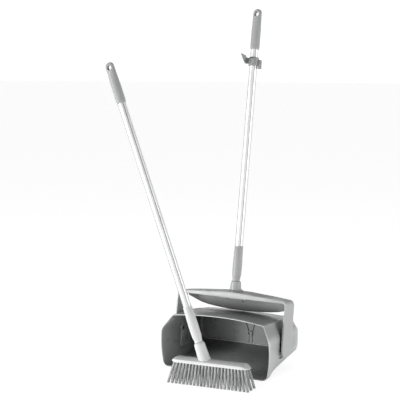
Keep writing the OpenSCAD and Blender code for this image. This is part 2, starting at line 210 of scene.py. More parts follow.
finishes = {
    # the pan's painted shade reaches far and goes nearly black, darkening its arm recesses and its inside
    "pan_grey": mouldedPlastic("panPlastic", (0.355, 0.360, 0.360), 0.30, 900, 0.00003, variation=0.04,
                               edgeLift=0.9, paintedShadeReach=0.17, paintedShadeTone=0.03, paintedShadeRange=(0.16, 0.60)),
    "yoke_grey": mouldedPlastic("yokePlastic", (0.400, 0.405, 0.405), 0.36, 900, 0.00003, variation=0.04,
                                edgeLift=0.3),
    # the flap's painted shade darkens its top, under the bar
    "flap_grey": mouldedPlastic("flapPlastic", (0.46, 0.465, 0.465), 0.42, 900, 0.00003, variation=0.04,
                                edgeLift=0.2, paintedShadeReach=0.05, paintedShadeTone=0.15, paintedShadeRange=(0.32, 0.86)),
    "ferrule_grey": mouldedPlastic("ferrulePlastic", (0.380, 0.385, 0.385), 0.45, 1100, 0.00004),
    "ferrule_light": mouldedPlastic("lightFerrulePlastic", (0.620, 0.625, 0.620), 0.45, 1100, 0.00004,
                                    variation=0.04),
    "block_light": mouldedPlastic("blockPlastic", (0.640, 0.645, 0.640), 0.45, 1000, 0.00004, variation=0.04),
    "grip_grey": mouldedPlastic("gripRubber", (0.330, 0.335, 0.335), 0.55, 1600, 0.00006, edgeLift=0.10,
                                specular=0.4),
    "clip_grey": mouldedPlastic("clipPlastic", (0.260, 0.265, 0.265), 0.42, 1000, 0.00003),
    "tube_alu": drawnMetal("drawnAluminium", (0.80, 0.805, 0.81), 0.34, (1, 1, 0.02), 0.00001, metallic=0.45),
    "steel": drawnMetal("zincSteel", (0.36, 0.37, 0.38), 0.42, (1, 1, 1), 0.00002),
    "black_plastic": mouldedPlastic("blackPlastic", (0.03, 0.03, 0.032), 0.5, 900, 0.00004, variation=0.1),
    "bristle": fibreStuff("polyesterFibre", (0.54, 0.55, 0.55)),
}
slotOf = {part["node"]: part["material_slot"] for part in record["subparts"]}
for nodeName, nodeObject in nodes.items():
    for slot in nodeObject.material_slots:
        slot.material = finishes[slotOf[nodeName]]
print("finishes made")


# helpers that turn points and faces, in millimetres, into pieces
def addPiece(name, verts, faces, place, body, slotName, stands, smoothAngle=35):
    mesh = bpy.data.meshes.new(name)
    mesh.from_pydata([tuple(v) for v in verts], [], [tuple(f) for f in faces])
    mesh.transform(place)
    mesh.validate()
    piece = bpy.data.objects.new(name, mesh)
    bpy.context.scene.collection.objects.link(piece)
    mesh.materials.append(finishes[slotName])
    tidyMesh(mesh, smoothAngle)
    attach(piece, body)
    if stands:
        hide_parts(*stands)
    return piece


def tidyMesh(mesh, smoothAngle=35):
    work = bmesh.new()
    work.from_mesh(mesh)
    bmesh.ops.remove_doubles(work, verts=work.verts, dist=0.000004)
    bmesh.ops.dissolve_degenerate(work, edges=work.edges, dist=0.000002)
    bmesh.ops.recalc_face_normals(work, faces=work.faces)
    for face in work.faces:
        face.smooth = True
    for edge in work.edges:
        edge.smooth = len(edge.link_faces) == 2 and edge.calc_face_angle(0) < radians(smoothAngle)
    work.to_mesh(mesh)
    work.free()


def loopFaces(rows, count, closedRows=False, offset=0):
    # quads between rings of equal count
    faces = []
    last = rows if closedRows else rows - 1
    for r in range(last):
        for c in range(count):
            a = offset + r * count + c
            b = offset + r * count + (c + 1) % count
            d = offset + ((r + 1) % rows) * count + c
            e = offset + ((r + 1) % rows) * count + (c + 1) % count
            faces.append((a, b, e, d))
    return faces


def lathe(profile, steps=72, closed=False):
    # profile of (radius, height), turned about Z
    verts = []
    for radius, height in profile:
        for k in range(steps):
            angle = 2 * pi * k / steps
            verts.append((radius * cos(angle), radius * sin(angle), height))
    faces = loopFaces(len(profile), steps, closed)
    if not closed:
        faces.append(tuple(reversed(range(steps))))
        faces.append(tuple(range((len(profile) - 1) * steps, len(profile) * steps)))
    return verts, faces


def joinParts(*parts):
    verts, faces = [], []
    for partVerts, partFaces in parts:
        start = len(verts)
        verts += list(partVerts)
        faces += [tuple(i + start for i in f) for f in partFaces]
    return verts, faces


def moved(part, matrix):
    verts, faces = part
    return [tuple(matrix @ Vector(v)) for v in verts], faces


def cutWith(piece, cutter):
    # takes the cutter's shape out of the piece, and throws the cutter away
    bpy.context.view_layer.update()
    tool = piece.modifiers.new("cut", "BOOLEAN")
    tool.operation = "DIFFERENCE"
    tool.solver = "EXACT"
    tool.object = cutter
    graph = bpy.context.evaluated_depsgraph_get()
    cutMesh = bpy.data.meshes.new_from_object(piece.evaluated_get(graph))
    piece.modifiers.clear()
    piece.data = cutMesh
    bpy.data.objects.remove(cutter)
    return piece


def loneMesh(name, part, place):
    mesh = bpy.data.meshes.new(name)
    mesh.from_pydata([tuple(v) for v in part[0]], [], [tuple(f) for f in part[1]])
    mesh.transform(place)
    work = bmesh.new()
    work.from_mesh(mesh)
    bmesh.ops.recalc_face_normals(work, faces=work.faces)
    work.to_mesh(mesh)
    work.free()
    piece = bpy.data.objects.new(name, mesh)
    bpy.context.scene.collection.objects.link(piece)
    return piece


def ease(u):
    u = max(0.0, min(1.0, u))
    return u * u * (3 - 2 * u)


def between(value, points):
    # straight lines between (at, value) points
    if value <= points[0][0]:
        return points[0][1]
    for (a, fa), (b, fb) in zip(points, points[1:]):
        if value <= b:
            return fa + (fb - fa) * (value - a) / (b - a)
    return points[-1][1]


# the pan's shell, as widths and heights along its depth from the lip
panShape = {
    "half": [(0, 181.5), (24, 179), (82, 173.2), (204, 170.5), (212, 170)],
    "foot": [(0, 177), (24, 174), (50, 168.5), (82, 167), (212, 166.6)],
    "roof": [(0, 153), (82, 152), (150, 150.5), (204, 146), (212, 145)],
    "fold": [(0, 113), (150, 113), (204, 110), (212, 109.5)],
    "corner": [(0, 155), (120, 154.5), (160, 151), (205, 145), (212, 144)],
    "cornerRadius": 19, "bow": 3.6, "wall": 3.0, "depth": 210, "land": 24, "climb": 0.2258,
    "innerRiseFrom": 184, "innerRise": 0.016, "shoulderDrop": 5,
    "pocketHalf": 166, "pocketFloor": 46.4, "pocketFront": 87.5, "pocketBack": 134.5, "pocketLean": 0.158,
    "crestRadius": 262, "crestCentre": -94, "crestHalf": 152, "backAt": 200,
    # height at the corner, then how much the middle stands above it
    "roofFront": (155, 9), "roofRidge": (152.5, 3.4), "roofRear": (145, 3.0), "roofLevel": 30, "roofEnd": 206,
    "rimLean": 20, "rimLow": 113, "rimRise": 42,
}


def crestLine(x):
    s = panShape
    return s["crestCentre"] + sqrt(s["crestRadius"] ** 2 - min(abs(x), s["crestHalf"]) ** 2)


def sideRing(t, y, inPocket):
    # right half of one section, t inside the outer face, from the middle of the bottom to the shoulder
    s = panShape
    low = max(0.0, (y - s["land"]) * s["climb"]) + t
    if t > 2.5 and y > s["innerRiseFrom"]:
        low += s["innerRise"] * (y - s["innerRiseFrom"]) ** 2
    foot = between(y, s["foot"]) - t
    half = between(y, s["half"]) - t
    fold = between(y, s["fold"]) - t * 0.35
    top = between(y, s["roof"]) - t * 0.6
    corner = between(y, s["corner"]) - t
    r = max(4.0, s["cornerRadius"] - t)
    ring = [((foot - r) * k / 8, low) for k in range(9)]
    for k in range(1, 8):
        a = pi / 2 * k / 8
        ring.append((foot - r + r * sin(a), low + r - r * cos(a)))
    floorZ = s["pocketFloor"] - t

    def sideX(z):
        u = max(0.0, min(1.0, (z - low - r) / (fold - low - r)))
        rear = ease((y - 100) / 80)
        return foot + (half - foot) * u ** (1 - 0.75 * rear) + s["bow"] * (1 - rear) * 4 * u * (1 - u)

    start = low + r
    for k in range(3):
        z = start + (max(floorZ - 0.4, start + 0.6) - start) * k / 2
        ring.append((sideX(z), z))
    ledge = max(floorZ, start + 1.0)
    wallX = s["pocketHalf"] - t
    drop = s["shoulderDrop"]
    heights = [ledge + (fold - drop - ledge) * k / 7 for k in range(8)]
    cut = [(sideX(z), z) for z in heights]
    # soft fold between side and shoulder
    for u in (0.0, 0.5, 1.0):
        a = (sideX(fold - drop * (1 - u)), fold - drop * (1 - u))
        b = (half + (top - half) * 0.10 * u, fold + (corner - fold) * 0.10 * u)
        cut.append((a[0] * (1 - u) + b[0] * u - 0.4 * (1 - abs(2 * u - 1)), a[1] * (1 - u) + b[1] * u))
    for u in (0.3, 0.5, 0.7, 0.88, 0.95):
        cut.append((half + (top - half) * u, fold + (corner - fold) * u))
    if inPocket:
        cut = [(min(x, wallX), z) for x, z in cut]
    return ring + cut, top


def roofHeight(x, y, top, t):
    s = panShape
    crest = crestLine(x)
    arch = 1 - (x / top) ** 2
    front, ridge, rear = (s[name][0] + s[name][1] * arch for name in ("roofFront", "roofRidge", "roofRear"))
    level = s["roofLevel"]
    if y <= crest:
        z = front + (ridge - front) * ease((y - level) / (crest - level)) if y > level else front
    else:
        u = (y - crest) / (s["roofEnd"] - crest)
        z = ridge + (rear - ridge) * (u if u < 1 else 1 + (u - 1) * 0.5)
    return z - t


def panStations(t):
    # the side's y, whether it is in the arm's recess, and the roof's share: 1 at the crest, 1.9 at the back
    s = panShape
    front, back = s["pocketFront"] - t, s["pocketBack"] + t
    return [(0, False, 0.0), (12, False, 0.12), (24, False, 0.24), (45, False, 0.42), (66, False, 0.6),
            (front - 3, False, 0.74), (front - 0.8, False, 0.80), (front, False, 0.84),
            (front + 0.05, True, 0.88), (front + 1.5, True, 0.94), (front + 14, True, 1.0),
            (front + 28, True, 1.06), (back - 1.5, True, 1.16), (back - 0.05, True, 1.26),
            (back, False, 1.34), (back + 0.8, False, 1.40), (back + 8, False, 1.5),
            (165, False, 1.62), (185, False, 1.78), (196, False, 1.9)]


def panRing(t, station):
    ySide, inPocket, share = station
    s = panShape
    ring = []
    base, top = sideRing(t, ySide, inPocket)
    # the recess leans with the arm, and the rim leans back above the fold
    leaning = ease((ySide - 40) / 45) * (1 - ease((ySide - 150) / 45))
    for x, z in base:
        y = ySide + (z - 72) * s["pocketLean"] * leaning
        rim = s["rimLean"] * max(0.0, z - s["rimLow"]) / s["rimRise"]
        y = max(y, rim) if ySide > 0 else rim
        if 0 < ySide < 60:
            y = rim + (y - min(rim, ySide)) * (1 if ySide > rim else 0.6)
        ring.append((x, y, z))
    for k in range(15):
        u = 1 - k / 14
        x = (top - 2.5) * u
        crest = crestLine(x)
        rim = s["rimLean"] * (164 - 9 * u * u - s["rimLow"]) / s["rimRise"]
        if share <= 1:
            y = rim + (crest - rim) * share
        else:
            y = crest + (s["depth"] - 14 - crest) * (share - 1) / 0.9
        cornerMix = ease((u - 0.9) / 0.1)
        sideY = ring[len(base) - 1][1]
        y = y * (1 - cornerMix) + sideY * cornerMix
        z = roofHeight(x, y, top, t)
        ring.append((x, y, z))
    return ring


def wholeRing(half):
    left = [(-x, y, z) for x, y, z in reversed(half[1:-1])]
    return half + left


def insetBack(ring, y, grow, lift):
    # the last rings, which round the body into its back wall
    middle = 96.0
    rounded = []
    for x, _, z in ring:
        rise = (lift if z < middle else -lift) * min(1.0, abs(z - middle) / 40)
        rounded.append((x * (1 - grow / max(abs(x), 60)), y, z + rise))
    return rounded


def panShellPart():
    wall = panShape["wall"]
    outer = [wholeRing(panRing(0.0, st)) for st in panStations(0.0)]
    inner = [wholeRing(panRing(wall, st)) for st in panStations(wall)]

    def rimRing(t, forward):
        return [(x, y + forward, z) for x, y, z in wholeRing(panRing(t, (0, False, 0.0)))]

    def backRing(t, y, grow, lift):
        return insetBack(wholeRing(panRing(t, (panShape["backAt"], False, 1.9))), y, grow, lift)
    # from the middle of the outer back wall forwards, round the rim, and back inside
    rings = [backRing(0, *step) for step in
             ((210, 8, 6), (210, 4.0, 3.0), (209.0, 1.5, 1.2), (206.5, 0.3, 0.2))]
    rings += list(reversed(outer[1:]))
    rings += [rimRing(t, forward) for t, forward in
              ((0.0, 1.4), (0.25, 0.45), (0.9, 0.0), (2.1, 0.0), (2.75, 0.45), (wall, 1.4))]
    rings += inner[1:]
    rings += [backRing(wall, *step) for step in
              ((203.5, 0.4, 0.3), (206.0, 2.0, 1.6), (207.0, 5.0, 3.6), (207.0, 9, 7))]
    count = len(rings[0])
    verts = [v for ring in rings for v in ring]
    faces = loopFaces(len(rings), count)
    faces.append(tuple(reversed(range(count))))
    faces.append(tuple(range((len(rings) - 1) * count, len(rings) * count)))
    return verts, faces


panShell = addPiece("panShell", *panShellPart(), panPlace, "pan", "pan_grey", ["pan_body"], 28)
print("pan shell made", len(panShell.data.vertices))

# a drain-shaped boss and ribs on the back wall, a bead along its foot, a blind slot in each side wall,
# the bosses that the arms turn against, and the feet under the back
panInside = {
    "bossX": 8.0, "bossZ": 80.5, "wallY": 207.2, "ring": 8.0, "funnelTop": 132, "funnelHalf": 27,
    "ribHalf": 5.6, "ribFoot": 44, "beadHalf": 152, "beadY": 204, "beadZ": 49.2,
    "slotY": (91, 102), "slotZ": (69, 104), "slotCorner": 3,
    "slotCut": (150, 172.5), "trayWall": (163.4, 174.5),
    "armBossX": 164, "hingeY": 104, "hingeZ": 79,
    "footX": 81.7, "footY": 186, "footRadius": 9, "footTop": 37.8,
}


def bevelMesh(part, width, segments=2, angle=35):
    mesh = bpy.data.meshes.new("soft")
    mesh.from_pydata([tuple(v) for v in part[0]], [], [tuple(f) for f in part[1]])
    work = bmesh.new()
    work.from_mesh(mesh)
    bmesh.ops.remove_doubles(work, verts=work.verts, dist=0.002)
    bmesh.ops.recalc_face_normals(work, faces=work.faces)
    sharp = [e for e in work.edges if len(e.link_faces) == 2 and e.calc_face_angle(0) > radians(angle)]
    bmesh.ops.bevel(work, geom=sharp, offset=width, offset_type="OFFSET", segments=segments, profile=0.5,
                    affect="EDGES", clamp_overlap=True)
    work.verts.ensure_lookup_table()
    work.verts.index_update()
    verts = [tuple(v.co) for v in work.verts]
    faces = [tuple(v.index for v in f.verts) for f in work.faces]
    work.free()
    bpy.data.meshes.remove(mesh)
    return verts, faces


def prism(outline, low, high, axis="y"):
    # outline of (a, b) points pushed from low to high
    n = len(outline)
    verts = []
    for h in (low, high):
        for a, b in outline:
            verts.append((a, h, b) if axis == "y" else (a, b, h) if axis == "z" else (h, a, b))
    faces = [tuple(range(n)), tuple(reversed(range(n, 2 * n)))]
    faces += [(i, i + n, (i + 1) % n + n, (i + 1) % n) for i in range(n)]
    return verts, faces


def acrossSide(side, span):
    # the span from the middle outwards, on the right or mirrored to the left, lowest first
    return sorted(side * x for x in span)


def slotCutter(side):
    p = panInside
    (y0, y1), (z0, z1), c = p["slotY"], p["slotZ"], p["slotCorner"]
    outline = [(y0, z0 + c), (y0 + c, z0), (y1 - c, z0), (y1, z0 + c),
               (y1, z1 - c), (y1 - c, z1), (y0 + c, z1), (y0, z1 - c)]
    return prism(outline, *acrossSide(side, p["slotCut"]), "x")


def backBossParts():
    p = panInside
    y = p["wallY"]
    face = Matrix.Translation((p["bossX"], y, p["bossZ"])) @ Matrix.Rotation(pi / 2, 4, "X")
    r = p["ring"]
    profile = [(r, -1), (r, 3.2), (r - 0.8, 4), (r - 2.0, 4), (r - 2.6, 3.2), (r - 2.6, 0.8), (1.5, 0.5)]
    parts = [moved(lathe(profile, 40), face)]
    # two curved ribs opening upwards like a funnel
    for side in (-1, 1):
        spine = []
        for k in range(15):
            u = k / 14
            spine.append((p["bossX"] + side * (r - 1 + (p["funnelHalf"] - r) * u ** 1.5),
                          p["bossZ"] + 3 + (p["funnelTop"] - p["bossZ"] - 3) * u))
        outline = [(x - 1.1, z) for x, z in spine] + [(x + 1.1, z) for x, z in reversed(spine)]
        parts.append(prism(outline, y - 3.0, y + 1))
        x = p["bossX"] + side * p["ribHalf"]
        parts.append(prism([(x - 0.9, p["ribFoot"]), (x + 0.9, p["ribFoot"]), (x + 0.9, p["bossZ"] - 5),
                            (x - 0.9, p["bossZ"] - 5)], y - 1.8, y + 1))
    return parts


def footBeadPart():
    p = panInside
    half = p["beadHalf"]
    turns = [2 * pi * i / 8 for i in range(8)]
    rows = []
    for k in range(41):
        x = -half + 2 * half * k / 40
        droop = 3 * (abs(x) / half) ** 6
        rows.append([(x, p["beadY"] + 2 * cos(a), p["beadZ"] - droop + 2 * sin(a)) for a in turns])
    verts = [v for row in rows for v in row]
    faces = loopFaces(len(rows), 8)
    faces += [tuple(range(8)), tuple(reversed(range(len(verts) - 8, len(verts))))]
    return verts, faces


def slotTrayPart(side):
    # closed box behind each slot, standing in the recess
    p = panInside
    (y0, y1), (z0, z1) = p["slotY"], p["slotZ"]
    outline = [(y0 - 2, z0 - 2), (y1 + 2, z0 - 2), (y1 + 2, z1 + 2), (y0 - 2, z1 + 2)]
    return bevelMesh(prism(outline, *acrossSide(side, p["trayWall"]), "x"), 0.6, 1)


for side, trayName in ((-1, "leftSlotTray"), (1, "rightSlotTray")):
    cutWith(panShell, loneMesh("slotCutter", slotCutter(side), panPlace))
    tray = addPiece(trayName, *slotTrayPart(side), panPlace, "pan", "pan_grey", None, 40)
    cutWith(tray, loneMesh("slotCutter", slotCutter(side), panPlace))
    tidyMesh(tray.data, 40)
tidyMesh(panShell.data, 28)


def atHinge(side, x):
    # on the hinge line, x from the middle, pointing outwards
    hingeLine = Matrix.Translation((side * x, panInside["hingeY"], panInside["hingeZ"]))
    return hingeLine @ Matrix.Rotation(side * pi / 2, 4, "Y")


def bossAndFootParts():
    p = panInside
    r = p["footRadius"]
    armBoss = lathe([(15.6, 0), (15.2, 0.8), (15, 2), (15, 12.4), (14.3, 13.1), (8.2, 13.1), (8.2, 11)], 48)
    foot = lathe([(r - 1.2, 0), (r - 0.3, 0.4), (r, 1.3), (r + 1.2, p["footTop"])], 40)
    parts = []
    for side in (-1, 1):
        parts.append(moved(armBoss, atHinge(side, p["armBossX"])))
        parts.append(moved(foot, Matrix.Translation((side * p["footX"], p["footY"], 0))))
    return parts


insideParts = [bevelMesh(part, 0.5, 1) for part in backBossParts()]
insideParts += bossAndFootParts()
insideParts.append(footBeadPart())
addPiece("panBackBoss", *joinParts(*insideParts), panPlace, "pan", "pan_grey", None, 40)

# steel pins through the arms, heads inwards
pinShape = {"radius": 5, "from": 167.2, "to": 183.3, "head": 6.4, "headThick": 2.0}


def pinParts():
    s = pinShape
    long = s["to"] - s["from"]
    head, thick, r = s["head"], s["headThick"], s["radius"]
    turned = lathe([(head - 1.6, -thick + 0.2), (head - 0.4, -thick + 0.9), (head, -0.4), (head - 0.2, 0),
                    (r, 0.05), (r, long - 1), (r - 0.8, long)], 40)
    return joinParts(*[moved(turned, atHinge(side, s["from"])) for side in (-1, 1)])


addPiece("hingePins", *pinParts(), panPlace, "pan", "steel", ["pivot_pins"], 40)
print("pan details made")

# two arms, the bar over the pan and the socket for the handle, measured from the hinge along the handle
yokeShape = {
    "armOut": 185, "armThick": 5, "half": 27,
    "outerCorner": 15, "innerCorner": 7, "cornerLow": 119.2, "barLow": 126,
    "armFront": [(-31, -6), (-27, -12), (-20, -20.5), (-8, -26.5), (12, -28.4), (81, -28.4), (101, -27.4),
                 (121, -26.6)],
    "armBack": [(-27, 4), (-20, 18), (-8, 25.3), (0, 27), (121, 26.6)],
    "frontTop": [(0, 142.5), (30, 142), (53, 140.4), (82, 138.2), (148, 135.4), (170, 134.2)],
    "rearTop": [(0, 148.5), (41, 147.6), (69, 145.2), (90, 143.8), (121, 141.6), (156, 138.3), (170, 136.6)],
    "hubRadius": 17, "flare": 7.0, "flareReach": 13,
    "hub": [(15, 127), (18.2, 128), (17.6, 147), (17.1, 150), (16.6, 158), (15.5, 170), (15.2, 172.6),
            (14.6, 174.2), (13.4, 175.4), (12.2, 176), (11.7, 176), (11.7, 172)],
}


def yokeParts():
    s = yokeShape
    across = [-1, -0.93, -0.62, -0.3, 0, 0.3, 0.62, 0.93, 1]
    armIn = s["armOut"] - s["armThick"]
    stations = []
    for h in (-26.9, -26, -24, -21, -17, -12, -6, 2, 14, 30, 46, 62, 78, 92, 104, 112):
        front, back = between(h, s["armFront"]), between(h, s["armBack"])
        outer = [(s["armOut"], front + (back - front) * (u + 1) / 2, h) for u in across]
        inner = [(armIn, y, z) for _, y, z in outer]
        stations.append((outer, inner))
    for k in range(9):
        a = pi / 2 * k / 8
        outer, inner = [], []
        for u in across:
            y = s["half"] * u
            lift = (s["rearTop"][-1][1] - s["frontTop"][-1][1]) * ease((u + 1) / 2) * sin(a)
            outer.append((s["armOut"] - s["outerCorner"] * (1 - cos(a)), y,
                          s["cornerLow"] + s["outerCorner"] * sin(a) + lift))
            inner.append((armIn - s["innerCorner"] * (1 - cos(a)), y,
                          s["barLow"] - s["innerCorner"] * (1 - sin(a))))
        stations.append((outer, inner))
    for x in (163, 156, 144, 130, 114, 98, 84, 70, 58, 48, 40, 34, 29, 25, 21, 17, 12, 6, 0):
        outer, inner = [], []
        for u in across:
            y = s["half"] * u
            low, high = between(x, s["frontTop"]), between(x, s["rearTop"])
            z = low + (high - low) * ease((u + 1) / 2)
            gap = max(0.0, sqrt(x * x + y * y) - s["hubRadius"] - 1)
            z += s["flare"] * (1 - gap / s["flareReach"]) ** 2 if gap < s["flareReach"] else 0
            outer.append((x, y, z))
            inner.append((x, y, s["barLow"]))
        stations.append((outer, inner))
    mirrored = [([(-x, y, z) for x, y, z in o], [(-x, y, z) for x, y, z in i])
                for o, i in reversed(stations[:-1])]
    rings = [o + list(reversed(i)) for o, i in stations + mirrored]
    count = len(rings[0])
    verts = [v for ring in rings for v in ring]
    faces = loopFaces(len(rings), count)
    faces.append(tuple(reversed(range(count))))
    faces.append(tuple(range(len(verts) - count, len(verts))))
    body = bevelMesh((verts, faces), 1.1, 2, 50)
    return joinParts(body, lathe(s["hub"], 64))


addPiece("yokeFrame", *yokeParts(), yokePlace, "handle", "yoke_grey", ["yoke"], 30)
print("yoke made")

# the flap that hangs from the bar and shuts the pan's mouth, with one small blind hole
flapShape = {
    "drop": [(-183, 9.5), (-167, 16.5), (-150, 25.5), (-138, 30.5), (-116, 36.2), (-90, 40.2), (-64, 42.9),
             (-26, 45.0), (10, 45.6), (48, 44.2), (96, 40.4), (125, 36), (152, 28.6), (170, 18), (183, 10)],
    "half": 179, "thick": 2.6, "slant": 30, "top": (27.1, 125.9), "hole": (11.6, 12.5, 2.3),
    "land": [(-46, -11), (-43, -14), (43, -14), (46, -11), (46, 28.4), (-46, 28.4)],
    "landHigh": (122.9, 125.9),
}


def flapParts():
    s = flapShape
    across, down = 73, 9
    front, back = [], []
    for r in range(down):
        v = r / (down - 1)
        for c in range(across):
            x = -s["half"] + 2 * s["half"] * c / (across - 1)
            drop = between(x, s["drop"])
            z = 0.4 - (drop + 0.4) * v
            belly = 1.2 * sin(pi * v) * min(1, drop / 30)
            front.append((x, -belly, z))
            back.append((x, s["thick"] - belly * 0.6, z))
    verts = front + back
    faces = []
    size = across * down
    for r in range(down - 1):
        for c in range(across - 1):
            a = r * across + c
            faces.append((a, a + across, a + across + 1, a + 1))
            faces.append((a + size, a + size + 1, a + size + across + 1, a + size + across))
    for c in range(across - 1):
        faces.append((c, c + 1, c + 1 + size, c + size))
        d = (down - 1) * across + c
        faces.append((d, d + size, d + size + 1, d + 1))
    for r in range(down - 1):
        a = r * across
        faces.append((a, a + size, a + size + across, a + across))
        b = a + across - 1
        faces.append((b, b + across, b + across + size, b + size))
    tilt = Matrix.Translation((0, *s["top"])) @ Matrix.Rotation(radians(s["slant"]), 4, "X")
    plate = moved(bevelMesh((verts, faces), 0.7, 2, 50), tilt)
    # land that screws up against the bar
    land = bevelMesh(prism(s["land"], *s["landHigh"], "z"), 0.8, 2, 50)
    return joinParts(plate, land), tilt


flapMesh, flapTilt = flapParts()
flapPiece = addPiece("closingFlap", *flapMesh, yokePlace, "handle", "flap_grey", ["closing_flap"], 40)
holeX, holeDrop, holeRadius = flapShape["hole"]
holeAt = flapTilt @ Matrix.Translation((holeX, 0, -holeDrop)) @ Matrix.Rotation(pi / 2, 4, "X")
holePart = moved(lathe([(holeRadius, -1.4), (holeRadius, 9)], 24), holeAt)
cutWith(flapPiece, loneMesh("holeCutter", holePart, yokePlace))
tidyMesh(flapPiece.data, 40)
print("flap made")

# the two ferrules, each standing in its socket and holding a tube
ferruleShape = {"neck": 11.5, "cone": 13.6, "body": 14.25, "mouth": 12.6, "bore": 11.56,
                "length": 101, "low": 46}


def ferrulePart():
    s = ferruleShape
    neck, cone, body, mouth, bore = s["neck"], s["cone"], s["body"], s["mouth"], s["bore"]
    profile = [(10.6, -3.6), (neck, -3.2), (neck, 3.6), (neck + 0.3, 4.6), (cone - 0.4, 12.2), (cone, 13.6),
               (cone + 0.15, 20), (body - 0.1, 40), (body, 43), (body - 0.3, 52), (mouth + 0.3, 96.4),
               (mouth, 97.0), (mouth + 0.25, 97.6), (mouth + 0.2, 100.3), (mouth - 0.4, s["length"]),
               (bore, s["length"]), (bore, s["low"]), (4, s["low"] - 0.5), (4, -3.6)]
    return lathe(profile, 72, closed=True)


addPiece("panFerrule", *ferrulePart(), panHandlePlace, "handle", "ferrule_grey", ["pan_ferrule"], 30)
addPiece("broomFerrule", *ferrulePart(), broomHandlePlace, "broom", "ferrule_light", ["broom_ferrule"], 30)

# the grips, round below and flattened into a hanging loop above
gripShape = {"length": 122, "radius": 14, "dome": 11, "hole": 6.5, "holeDown": 15, "bore": 11.57,
             "flatFrom": 88, "flatOver": 16, "flatShare": 0.58}


def gripPart(name, place, at, body, stands):
    s = gripShape
    top, radius, tall = s["length"], s["radius"], s["dome"]
    turns = [radians(d) for d in (0, 12, 25, 38, 50, 62, 73, 83)]
    dome = [(radius * cos(a), top - tall + tall * sin(a)) for a in turns]
    foot = [(s["bore"], 0), (12.4, 0), (12.9, 0.6), (13.5, 3.5), (13.9, 7), (radius, 10), (radius, 60)]
    outline = foot + dome
    outline += [(0.6, top), (0.6, top - 40), (8, 70), (s["bore"], 64)]
    part = lathe(outline, 64, closed=True)
    lift = Matrix.Translation((0, 0, at))
    flat = [(x, y * (1 - s["flatShare"] * ease((z - s["flatFrom"]) / s["flatOver"])), z)
            for x, y, z in part[0]]
    piece = addPiece(name, *moved((flat, part[1]), lift), place, body, "grip_grey", [stands], 35)
    hole = s["hole"]
    waist = lathe([(hole + 3, -40), (hole + 1.6, -6.2), (hole, -4.6), (hole, 4.6), (hole + 1.6, 6.2),
                   (hole + 3, 40)], 48)
    through = Matrix.Translation((0, 0, at + top - s["holeDown"])) @ Matrix.Rotation(pi / 2, 4, "X")
    cutWith(piece, loneMesh("gripCutter", moved(waist, through), place))
    tidyMesh(piece.data, 35)


gripPart("panGrip", panHandlePlace, standing["panGrip"], "handle", "pan_grip")
gripPart("broomGrip", broomHandlePlace, standing["broomGrip"], "broom", "broom_grip")

# drawn tubes with shallow grooves along them
tubeShape = {"outer": 11.5, "inner": 10, "low": 46.05, "panLong": 704, "broomLong": 717,
             "grooves": (-135, -42, 17, 81, 161), "halfWidth": (15, 5, 12, 6, 6), "deep": 0.22}


def grooveShare(angle):
    share = 0.0
    for at, half in zip(tubeShape["grooves"], tubeShape["halfWidth"]):
        off = abs((angle - at + 180) % 360 - 180)
        share = max(share, 1 - off / half)
    return share


def tubePiece(name, long, place, body, stands):
    s = tubeShape
    top = s["low"] + long
    verts = []
    rows = [(s["inner"], s["low"] + 0.4, 0), (s["inner"] + 0.3, s["low"], 0), (s["outer"] - 0.3, s["low"], 1)]
    rows += [(s["outer"], s["low"] + 0.4 + (long - 0.8) * k / 24, 1) for k in range(25)]
    rows += [(s["outer"] - 0.3, top, 1), (s["inner"] + 0.3, top, 0), (s["inner"], top - 0.4, 0)]
    steps = 144
    for r, z, outside in rows:
        for k in range(steps):
            a = 2 * pi * k / steps
            deep = s["deep"] * max(0, grooveShare(degrees(a))) if outside else 0
            verts.append(((r - deep) * cos(a), (r - deep) * sin(a), z))
    piece = addPiece(name, verts, loopFaces(len(rows), steps, True), place, body, "tube_alu", [stands], 40)
    # painted shade: how deep in a groove each point lies, which the metal finish draws darker
    shade = piece.data.attributes.new("grooveShade", "FLOAT", "POINT")
    back = place.inverted()
    for i, vert in enumerate(piece.data.vertices):
        local = back @ vert.co
        shade.data[i].value = max(0.0, grooveShare(degrees(atan2(local.y, local.x))))


tubePiece("panTube", tubeShape["panLong"], panHandlePlace, "handle", "pan_tube")
tubePiece("broomTube", tubeShape["broomLong"], broomHandlePlace, "broom", "broom_tube")

# the clip on the pan's handle: a ring round the tube, and an open catch in front that parks the broom
clipShape = {"tube": 11.6, "ringHigh": 26, "low": 3, "high": 22,
             "catchGap": 27, "catchIn": 11.9, "catchWall": 2.8, "catchEnds": (-62, 242),
             "lugX": 12.5, "hornHigh": 31, "leafThick": 2.6}


def bandPart(centreY, inner, outer, start, end, low, high, steps=40):
    # part of a ring whose lower and upper edges may slope with the angle
    verts = []
    for k in range(steps + 1):
        u = k / steps
        a = radians(start + (end - start) * u)
        for r, z in ((inner, low(u)), (outer, low(u)), (outer, high(u)), (inner, high(u))):
            verts.append((r * cos(a), centreY + r * sin(a), z))
    faces = loopFaces(steps + 1, 4)
    faces += [(3, 2, 1, 0), tuple(len(verts) - 4 + i for i in range(4))]
    return bevelMesh((verts, faces), 0.5, 1, 50)


def bladePart(start, end, outline, thick):
    # flat leaf standing on the line from start to end; outline gives (share along it, height)
    along = Vector(end) - Vector(start)
    side = Vector((-along.y, along.x)).normalized() * thick / 2
    n = len(outline)
    verts = []
    for sign in (-1, 1):
        for u, z in outline:
            p = Vector(start) + along * u + side * sign
            verts.append((p.x, p.y, z))
    faces = [tuple(range(n)), tuple(reversed(range(n, 2 * n)))]
    faces += [(i, i + n, (i + 1) % n + n, (i + 1) % n) for i in range(n)]
    return bevelMesh((verts, faces), 0.4, 1, 50)


